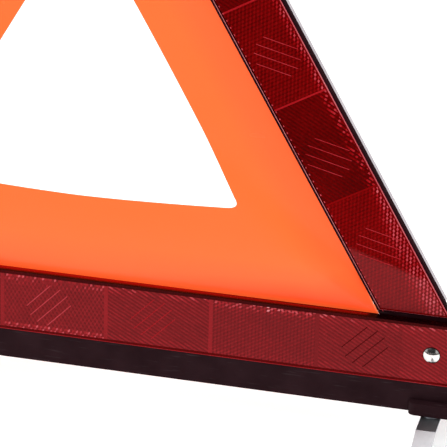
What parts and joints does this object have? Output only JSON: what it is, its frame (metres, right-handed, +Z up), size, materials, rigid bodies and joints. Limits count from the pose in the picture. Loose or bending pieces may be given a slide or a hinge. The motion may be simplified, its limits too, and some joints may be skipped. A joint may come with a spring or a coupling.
{
  "type": "folding warning triangle",
  "caption": "Folding roadside warning triangle: red prismatic reflector bars around an orange film, on a black base beam with fold-out metal legs.",
  "frame": {"origin": "on the floor, under the middle of the object with its legs out", "axes": "+Z up, +X along the bottom bar to the right as seen from the front, the front faces -Y"},
  "size_m": [0.496, 0.214, 0.4755],
  "materials": {
    "lens": "clear red moulding with small cube-corner prisms",
    "film": "fluorescent orange-red, smooth and glossy",
    "black": "black, slight sheen",
    "cover": "pale grey, smooth",
    "nickel": "bright nickel plate",
    "zinc": "zinc plate",
    "leg_steel": "zinc-plated strip"
  },
  "bodies": {
    "base": {"base_beam": "black", "base_lens": "lens", "film_base": "film", "rivet_right": "nickel", "rivet_left": "nickel", "washers_right": "zinc", "washers_left": "zinc", "spacer_left": "black", "leg_rivet_right": "zinc", "leg_rivet_left": "zinc", "leg_washers": "zinc"},
    "right_arm": {"arm_right_frame": "black", "arm_right_lens": "lens", "arm_right_cover": "cover", "film_right": "film", "snap_cap": "nickel", "snap_socket": "zinc"},
    "left_arm": {"arm_left_frame": "black", "arm_left_lens": "lens", "arm_left_cover": "cover", "film_left": "film", "snap_stud": "zinc", "snap_post": "nickel"},
    "right_front_leg": {"leg_right_front": "leg_steel"},
    "right_rear_leg": {"leg_right_rear": "leg_steel"},
    "left_front_leg": {"leg_left_front": "leg_steel"},
    "left_rear_leg": {"leg_left_rear": "leg_steel"}
  },
  "joints": [
    {"name": "right_arm_fold", "type": "hinge", "parent": "base", "child": "right_arm", "pos_m": [0.222, -0.002, 0.065], "axis": [0, -1, 0], "range_deg": [0, 60], "deforming": ["snap_socket"]},
    {"name": "left_arm_fold", "type": "hinge", "parent": "base", "child": "left_arm", "pos_m": [-0.222, 0.011, 0.065], "axis": [0, 1, 0], "range_deg": [0, 60]},
    {"name": "right_front_leg_turn", "type": "hinge", "parent": "base", "child": "right_front_leg", "pos_m": [0.224, -0.009, 0.023], "axis": [0, 0, -1], "range_deg": [0, 90]},
    {"name": "right_rear_leg_turn", "type": "hinge", "parent": "base", "child": "right_rear_leg", "pos_m": [0.224, -0.009, 0.0246], "axis": [0, 0, 1], "range_deg": [0, 90]},
    {"name": "left_front_leg_turn", "type": "hinge", "parent": "base", "child": "left_front_leg", "pos_m": [-0.224, -0.009, 0.023], "axis": [0, 0, 1], "range_deg": [0, 90]},
    {"name": "left_rear_leg_turn", "type": "hinge", "parent": "base", "child": "left_rear_leg", "pos_m": [-0.224, -0.009, 0.0246], "axis": [0, 0, -1], "range_deg": [0, 90]}
  ]
}
